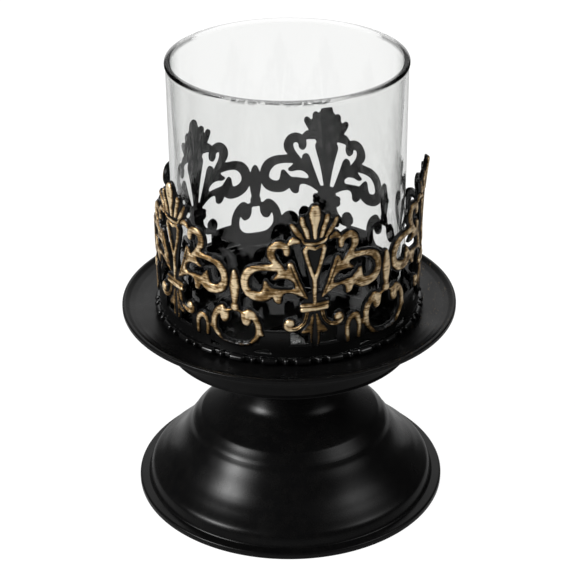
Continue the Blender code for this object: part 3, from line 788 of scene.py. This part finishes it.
BEAD_REPEATS = 26              # one reel and one bead each
BEAD_PHASE = 5.45              # azimuth of a reel's middle, degrees
BEAD_R = 0.95
BEAD_CIRCLE_R = 47.0           # circle on which the beads are spaced
REEL_HALF = 1.9                # half length of a reel's straight part
RING_SEGMENTS = 1248
EDGE_STEPS = 14                # steps over the rounded outer edge
EDGE_R = 46.6                  # where the rounded edge starts
EDGE_Z = 74.6                  # height of its middle
EDGE_HALF_HEIGHT = 1.2


def bead_swell(arc):
    """How far beads and reels swell at a distance along the ring's edge, as a share of BEAD_R."""
    pitch = TURN * BEAD_CIRCLE_R / BEAD_REPEATS
    along = (arc + pitch / 2) % pitch - pitch / 2
    from_reel = max(abs(along) - REEL_HALF, 0.0)
    from_bead = abs(abs(along) - pitch / 2)
    share = max(1 - (from_reel / BEAD_R) ** 2, 1 - (from_bead / BEAD_R) ** 2, 0.0)
    return math.sqrt(share)


def ring_outline(swell):
    """Closed (radius, z) outline of the ring, its outer edge bulging with the swell."""
    bulge = 1.3 * BEAD_R * (0.2 + 0.8 * swell)
    half_height = EDGE_HALF_HEIGHT * (0.7 + 0.3 * swell)
    outline = []
    for i in range(EDGE_STEPS + 1):
        lift = math.pi * (i / EDGE_STEPS) - math.pi / 2
        radius = EDGE_R + bulge * math.cos(lift) + 0.4 * swell
        outline.append((radius, EDGE_Z + half_height * math.sin(lift)))
    top = [(45.4, 75.6), (43.2, 75.2), (42.9, 74.7)]
    spigot = [(42.9, 67.2), (43.1, 67.0), (43.5, 67.2), (43.5, 73.3), (46.2, 73.3)]
    return outline + top + spigot


def make_gallery_ring():
    """Ring whose outer edge swells into beads and reels, with its spigot in the dish's well."""
    bm = bmesh.new()
    rings = []
    for k in range(RING_SEGMENTS):
        turn = TURN * k / RING_SEGMENTS
        swell = bead_swell((turn - math.radians(BEAD_PHASE)) * BEAD_CIRCLE_R)
        ring = []
        for radius, z in ring_outline(swell):
            x, y = on_circle(radius, turn)
            ring.append(bm.verts.new((x, y, z)))
        rings.append(ring)
    for here, there in zip(rings, rings[1:] + rings[:1]):
        for i in range(len(here)):
            n = (i + 1) % len(here)
            bm.faces.new([here[i], here[n], there[n], there[i]])
    paint = black_paint("ring_paint", 0.16, gloss=0.3)
    add_piece("beaded_ring", bm, paint, "holder", "black_paint", "gallery_ring", sharp=50.0)


PAINTED_NODES = (("seam_plate", "seam_plate_paint"), ("seam_rivet_1", "rivet_1_paint"),
                 ("seam_rivet_2", "rivet_2_paint"))
PLATED_NODES = (("centre_bolt", "bolt_steel"), ("upper_washer", "upper_washer_steel"),
                ("lower_washer", "lower_washer_steel"), ("lock_washer", "lock_washer_steel"),
                ("hex_nut", "nut_steel"))


def make_fasteners():
    """The CAD's own fasteners stay and only get their materials."""
    for nodes, finish in ((PAINTED_NODES, black_paint), (PLATED_NODES, plated_steel)):
        for node, name in nodes:
            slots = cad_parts[node].data.materials
            slots.clear()
            slots.append(finish(name))


# ---- studio -------------------------------------------------------------------------------------

def make_camera():
    """Camera at the photo's angle."""
    pitch, roll = math.radians(CAMERA_PITCH), math.radians(CAMERA_ROLL)
    ahead = Vector((0, math.cos(pitch), -math.sin(pitch)))
    right = Vector((1, 0, 0))
    up = right.cross(ahead)
    side = math.cos(roll) * right + math.sin(roll) * up
    top = math.cos(roll) * up - math.sin(roll) * right
    place = Vector((CAMERA_SIDE, 0, CAMERA_AIM_Z)) - CAMERA_DISTANCE * ahead
    data = bpy.data.cameras.new("camera")
    data.lens = CAMERA_LENS
    data.sensor_width = SENSOR_WIDTH
    data.clip_start = 0.01
    camera = bpy.data.objects.new("camera", data)
    bpy.context.scene.collection.objects.link(camera)
    camera.matrix_world = Matrix((
        (side.x, top.x, -ahead.x, place.x * MM), (side.y, top.y, -ahead.y, place.y * MM),
        (side.z, top.z, -ahead.z, place.z * MM), (0, 0, 0, 1)))
    bpy.context.scene.camera = camera


def make_floor():
    """Pale glowing floor, dimmer where the holder mirrors it."""
    n = Nodes("floor_white")
    n.value(Roughness=1.0, Specular_IOR_Level=0.0, Emission_Color=(1, 1, 1, 1))
    path = n.add("ShaderNodeLightPath")
    mirrored = n.math("MULTIPLY", path.outputs["Is Glossy Ray"], path.outputs["Is Reflection Ray"])
    n.link(n.remap(mirrored, 0.0, 1.0, FLOOR_GLOW, FLOOR_GLEAM), n.shader.inputs["Emission Strength"])
    tint = n.mix(n.noise(0.2, 1.0), *FLOOR_TINTS)
    n.link(tint, n.shader.inputs["Base Color"])
    mesh = bpy.data.meshes.new("floor")
    x, front, back = FLOOR_HALF_WIDTH, -FLOOR_FRONT, FLOOR_BACK
    mesh.from_pydata([(-x, front, 0), (x, front, 0), (x, back, 0), (-x, back, 0)], [], [(0, 1, 2, 3)])
    mesh.materials.append(n.mat)
    floor = bpy.data.objects.new("floor", mesh)
    bpy.context.scene.collection.objects.link(floor)


def aim(azimuth, elevation):
    """Unit vector towards a light; azimuth as for the pieces."""
    x, y = on_circle(math.cos(math.radians(elevation)), math.radians(azimuth))
    return x, y, math.sin(math.radians(elevation))


class WorldNodes:
    """A short way to write the world's node tree."""

    def __init__(self, tree):
        self.tree = tree
        self.link = tree.links.new
        tree.nodes.clear()

    def add(self, kind):
        return self.tree.nodes.new(kind)

    def math(self, operation, a, b):
        node = self.add("ShaderNodeMath")
        node.operation = operation
        for slot, source in enumerate((a, b)):
            if isinstance(source, float):
                node.inputs[slot].default_value = source
            else:
                self.link(source, node.inputs[slot])
        return node.outputs["Value"]

    def switch(self, fac, off, on):
        """off where fac is 0 and the number on where it is 1."""
        node = self.add("ShaderNodeMix")
        self.link(fac, node.inputs[0])
        self.link(off, node.inputs[2])
        node.inputs[3].default_value = on
        return node.outputs[0]


def soft_lights(w):
    """Brightness of the studio in each direction: dark, with a round lobe for each light."""
    coords = w.add("ShaderNodeTexCoord")
    level = STUDIO_LEVEL
    for azimuth, elevation, spread, strength in SOFT_LIGHTS:
        dot = w.add("ShaderNodeVectorMath")
        dot.operation = "DOT_PRODUCT"
        w.link(coords.outputs["Generated"], dot.inputs[0])
        dot.inputs[1].default_value = aim(azimuth, elevation)
        facing = w.math("MAXIMUM", dot.outputs["Value"], 0.0)
        falloff = w.math("POWER", facing, 1 / math.radians(spread) ** 2)
        level = w.math("ADD", level, w.math("MULTIPLY", falloff, strength))
    return level


def make_world():
    """Dark studio with soft round lights; pure white wherever the camera sees it directly."""
    world = bpy.data.worlds.new("studio")
    bpy.context.scene.world = world
    world.use_nodes = True
    w = WorldNodes(world.node_tree)
    path = w.add("ShaderNodeLightPath")
    through = w.switch(path.outputs["Is Transmission Ray"], soft_lights(w), THROUGH_GLASS)
    seen = w.switch(path.outputs["Is Camera Ray"], through, BACKDROP)
    background = w.add("ShaderNodeBackground")
    background.inputs["Color"].default_value = (1.0, 1.0, 1.0, 1.0)
    w.link(seen, background.inputs["Strength"])
    out = w.add("ShaderNodeOutputWorld")
    w.link(background.outputs[0], out.inputs["Surface"])


def make_studio():
    make_floor()
    make_world()
    bpy.context.scene.view_settings.view_transform = "Standard"


def main():
    make_camera()
    make_foot_bell()
    make_foot_dome()
    make_dish()
    make_gallery_ring()
    make_panels()
    make_glass()
    make_fasteners()
    make_studio()


main()
